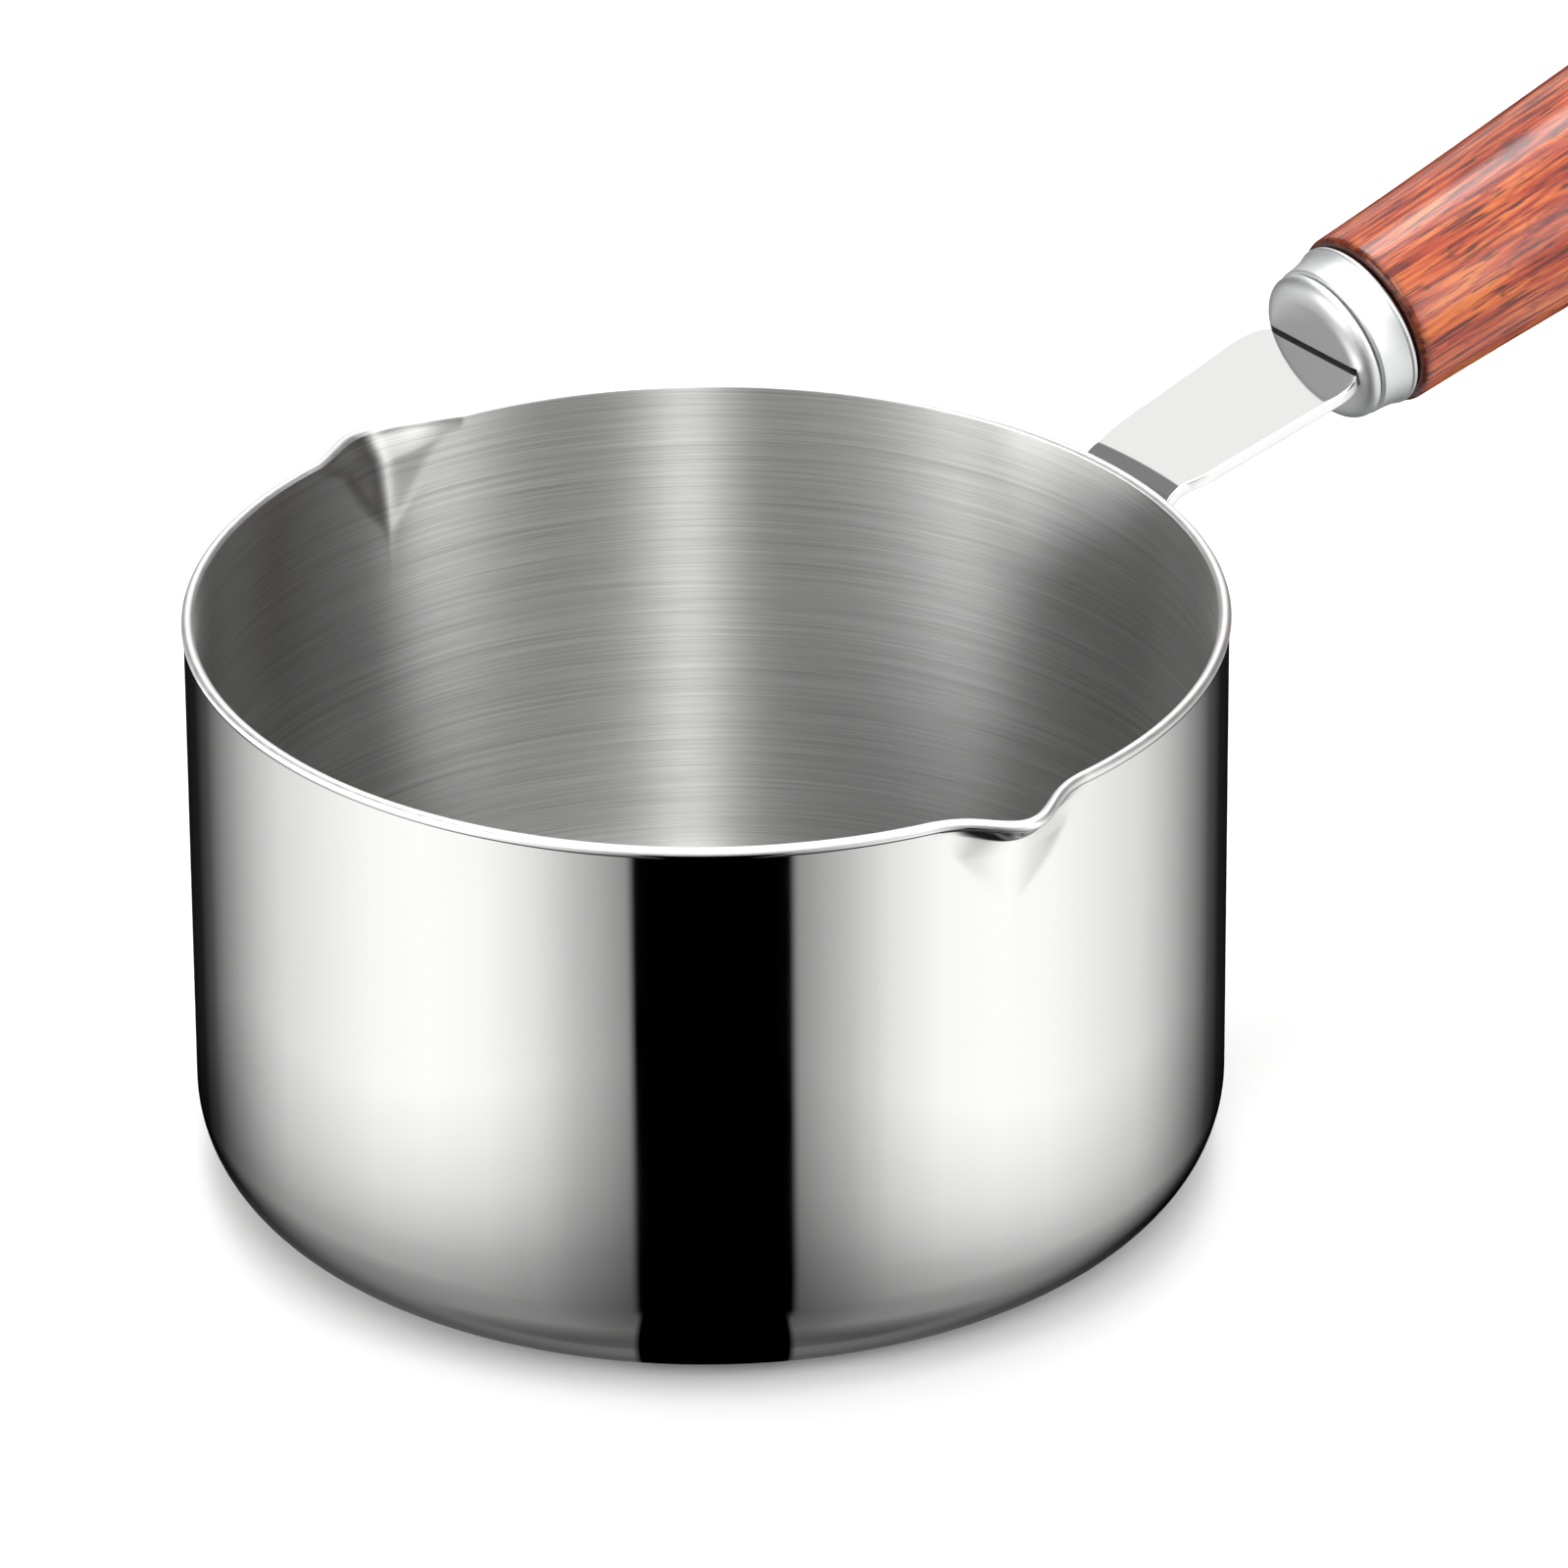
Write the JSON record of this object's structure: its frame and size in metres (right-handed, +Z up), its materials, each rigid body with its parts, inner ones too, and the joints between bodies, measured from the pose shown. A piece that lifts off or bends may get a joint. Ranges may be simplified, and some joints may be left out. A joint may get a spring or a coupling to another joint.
{
  "type": "saucepan",
  "caption": "Small straight-sided steel saucepan with opposite pouring spouts, a welded strip bracket, a turned wooden handle and a hanging ring.",
  "frame": {"origin": "middle of the base's flat underside, on the surface that the pan stands on", "axes": "+Z up, +X along the handle away from the bowl, the two spouts near +Y and -Y"},
  "size_m": [0.2385, 0.107, 0.0964],
  "materials": {
    "bowl_steel": "mirror polished outside, hairline brushed inside",
    "strip_steel": "mirror polished",
    "ferrule_steel": "satin polished",
    "grip_wood": "clear gloss lacquer over reddish brown hardwood",
    "rod_steel": "plain drawn",
    "fitting_steel": "polished"
  },
  "bodies": {
    "pan": {"pan_body": "bowl_steel", "handle_bracket": "strip_steel", "ferrule": "ferrule_steel", "wooden_grip": "grip_wood", "tie_rod": "rod_steel", "end_cap": "fitting_steel", "eye_nut": "fitting_steel"},
    "ring": {"hanging_ring": "fitting_steel"}
  },
  "joints": [
    {"name": "ring_swing", "type": "hinge", "parent": "pan", "child": "ring", "pos_m": [0.18312, 0, 0.09121], "axis": [0, -1, 0], "range_deg": [-44, 254]}
  ]
}
